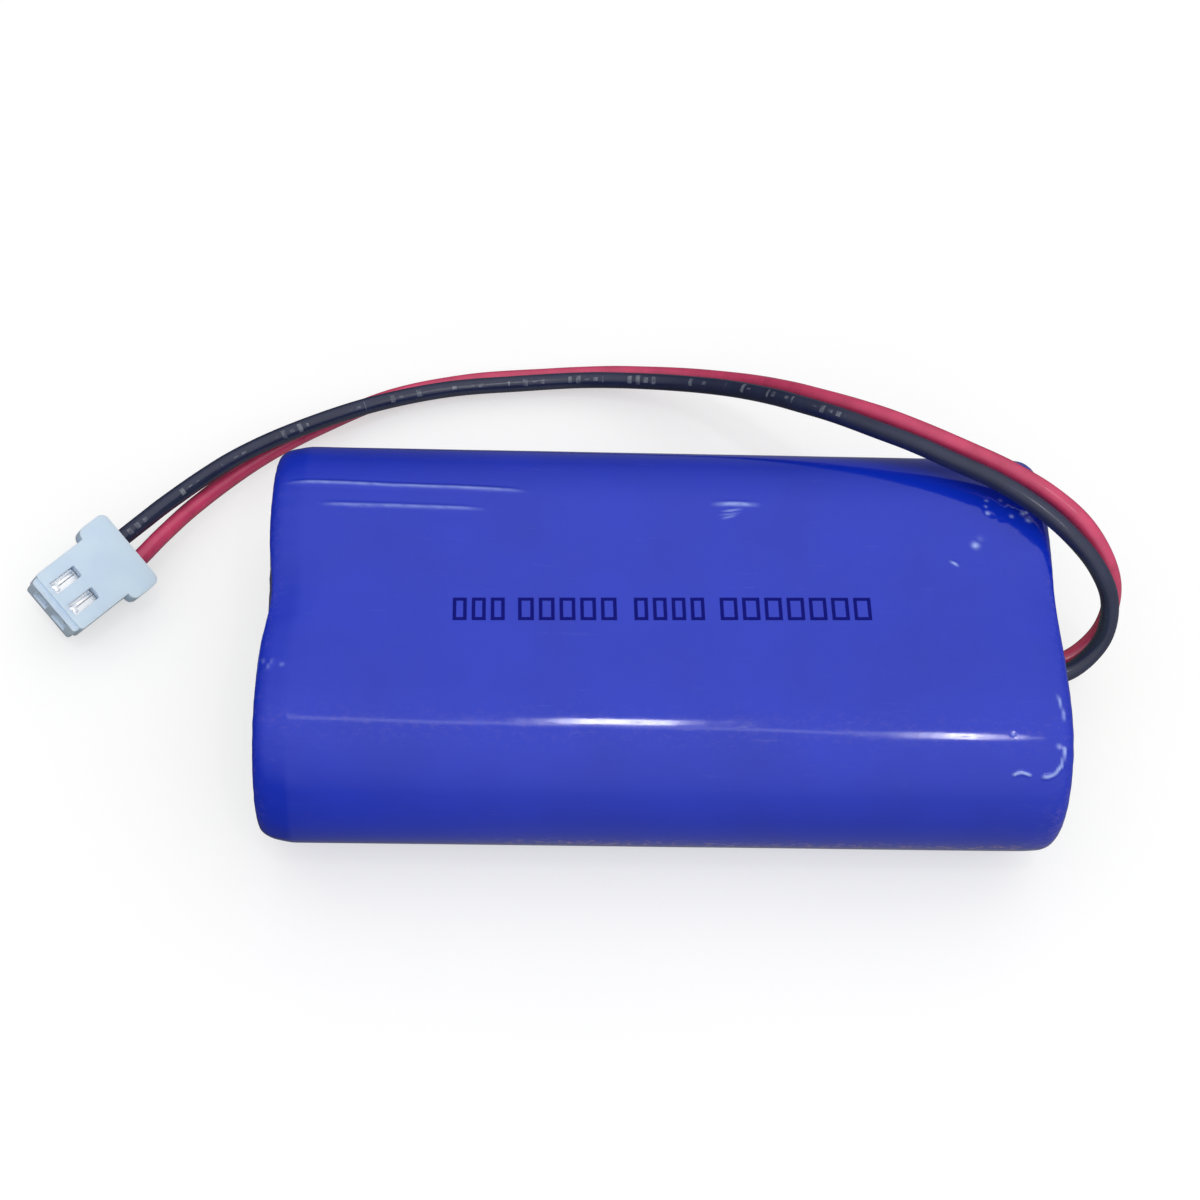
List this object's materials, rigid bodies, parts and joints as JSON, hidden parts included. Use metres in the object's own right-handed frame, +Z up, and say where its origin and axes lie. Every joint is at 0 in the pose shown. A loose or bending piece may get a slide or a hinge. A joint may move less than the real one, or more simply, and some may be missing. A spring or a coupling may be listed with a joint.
{
  "type": "battery pack",
  "caption": "Flat rectangular battery pack of side-by-side round cells in a shrunk plastic sleeve, with a short pair of leads ending in a small keyed plug.",
  "frame": {"origin": "centre of the flat face that the pack rests on, midway along the cells", "axes": "+X along the cells, out of the end that the leads leave; +Y to the rear, across the cells, to the side where the leads lie; +Z up, away from the resting face"},
  "size_m": [0.099, 0.0545, 0.0214],
  "materials": {
    "sleeve": "gloss",
    "cell_wrap": "gloss",
    "steel": "satin",
    "nickel": "satin",
    "aluminium": "satin",
    "winding": "matte",
    "gasket": "satin",
    "paper": "matte",
    "glue": "gloss",
    "sense_insulation": "satin",
    "board": "satin",
    "chip": "matte",
    "resistor": "satin",
    "capacitor": "satin",
    "solder": "gloss",
    "lead_red": "satin",
    "lead_black": "satin",
    "nylon": "satin",
    "tin": "gloss"
  },
  "bodies": {
    "root": {"outer_sleeve": "sleeve", "end_paper_left": "paper", "end_paper_right": "paper", "front_cell_can": "steel", "front_cell_wrap": "cell_wrap", "front_cell_gasket": "gasket", "front_cell_vent_disc": "aluminium", "front_cell_top_cap": "nickel", "front_cell_top_ring": "paper", "front_cell_top_insulator": "gasket", "front_cell_winding": "winding", "front_cell_centre_pin": "steel", "front_cell_bottom_insulator": "gasket", "front_cell_anode_tab": "nickel", "front_cell_cathode_tab": "aluminium", "rear_cell_can": "steel", "rear_cell_wrap": "cell_wrap", "rear_cell_gasket": "gasket", "rear_cell_vent_disc": "aluminium", "rear_cell_top_cap": "nickel", "rear_cell_top_ring": "paper", "rear_cell_top_insulator": "gasket", "rear_cell_winding": "winding", "rear_cell_centre_pin": "steel", "rear_cell_bottom_insulator": "gasket", "rear_cell_anode_tab": "nickel", "rear_cell_cathode_tab": "aluminium", "glue_bead_1": "glue", "glue_bead_2": "glue", "series_link": "nickel", "positive_tab": "nickel", "negative_tab": "nickel", "sense_wire": "sense_insulation", "protection_board": "board", "board_paper": "paper", "mosfet_1": "chip", "mosfet_2": "chip", "protection_controller": "chip", "resistor_1": "resistor", "resistor_2": "resistor", "resistor_3": "resistor", "capacitor_1": "capacitor", "capacitor_2": "capacitor", "solder_red": "solder", "solder_black": "solder", "lead_red": "lead_red", "lead_black": "lead_black", "plug_housing": "nylon", "plug_terminal_black": "tin", "plug_terminal_red": "tin"}
  },
  "joints": []
}
